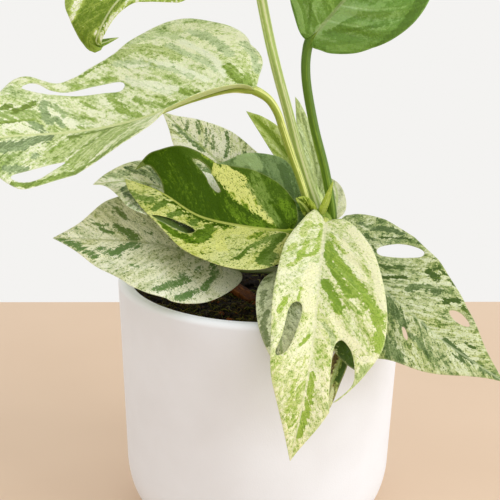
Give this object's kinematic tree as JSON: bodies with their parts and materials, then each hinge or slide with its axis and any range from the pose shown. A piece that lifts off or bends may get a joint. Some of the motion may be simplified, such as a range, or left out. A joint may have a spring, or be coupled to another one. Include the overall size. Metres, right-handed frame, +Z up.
{
  "type": "potted marble king pothos",
  "caption": "Variegated climbing house plant with split and folded leaves on arched stalks, standing in a round white pot of soil.",
  "frame": {"origin": "centre of the pot's underside, on the surface it stands on", "axes": "+Z up, the front of the plant looks along -Y, the large left leaf points along -X"},
  "size_m": [0.226, 0.1624, 0.2879],
  "materials": {
    "pot": "matte white",
    "soil": "loose potting mix",
    "bark_chip": "rough bark",
    "stem": "green stem skin",
    "leaf_left": "waxy leaf",
    "leaf_top_left": "waxy leaf",
    "leaf_top_right": "waxy leaf",
    "leaf_front": "waxy leaf",
    "leaf_right": "waxy leaf",
    "leaf_folded": "waxy leaf",
    "leaf_lower_left": "waxy leaf",
    "leaf_middle_left": "waxy leaf",
    "leaf_back_pale": "waxy leaf",
    "leaf_back_round": "waxy leaf",
    "leaf_back_olive": "waxy leaf",
    "leaf_back_narrow": "waxy leaf",
    "leaf_back_small": "waxy leaf",
    "leaf_under": "waxy leaf",
    "leaf_young": "waxy leaf"
  },
  "bodies": {
    "root": {"pot": "pot", "soil": "soil", "bark_chip": "bark_chip", "stem": "stem", "leaf_left": "leaf_left", "leaf_top_left": "leaf_top_left", "leaf_top_right": "leaf_top_right", "leaf_front": "leaf_front", "leaf_right": "leaf_right", "leaf_folded": "leaf_folded", "leaf_lower_left": "leaf_lower_left", "leaf_middle_left": "leaf_middle_left", "leaf_back_pale": "leaf_back_pale", "leaf_back_round": "leaf_back_round", "leaf_back_olive": "leaf_back_olive", "leaf_back_narrow": "leaf_back_narrow", "leaf_back_small": "leaf_back_small", "leaf_under": "leaf_under", "leaf_young": "leaf_young"}
  },
  "joints": []
}
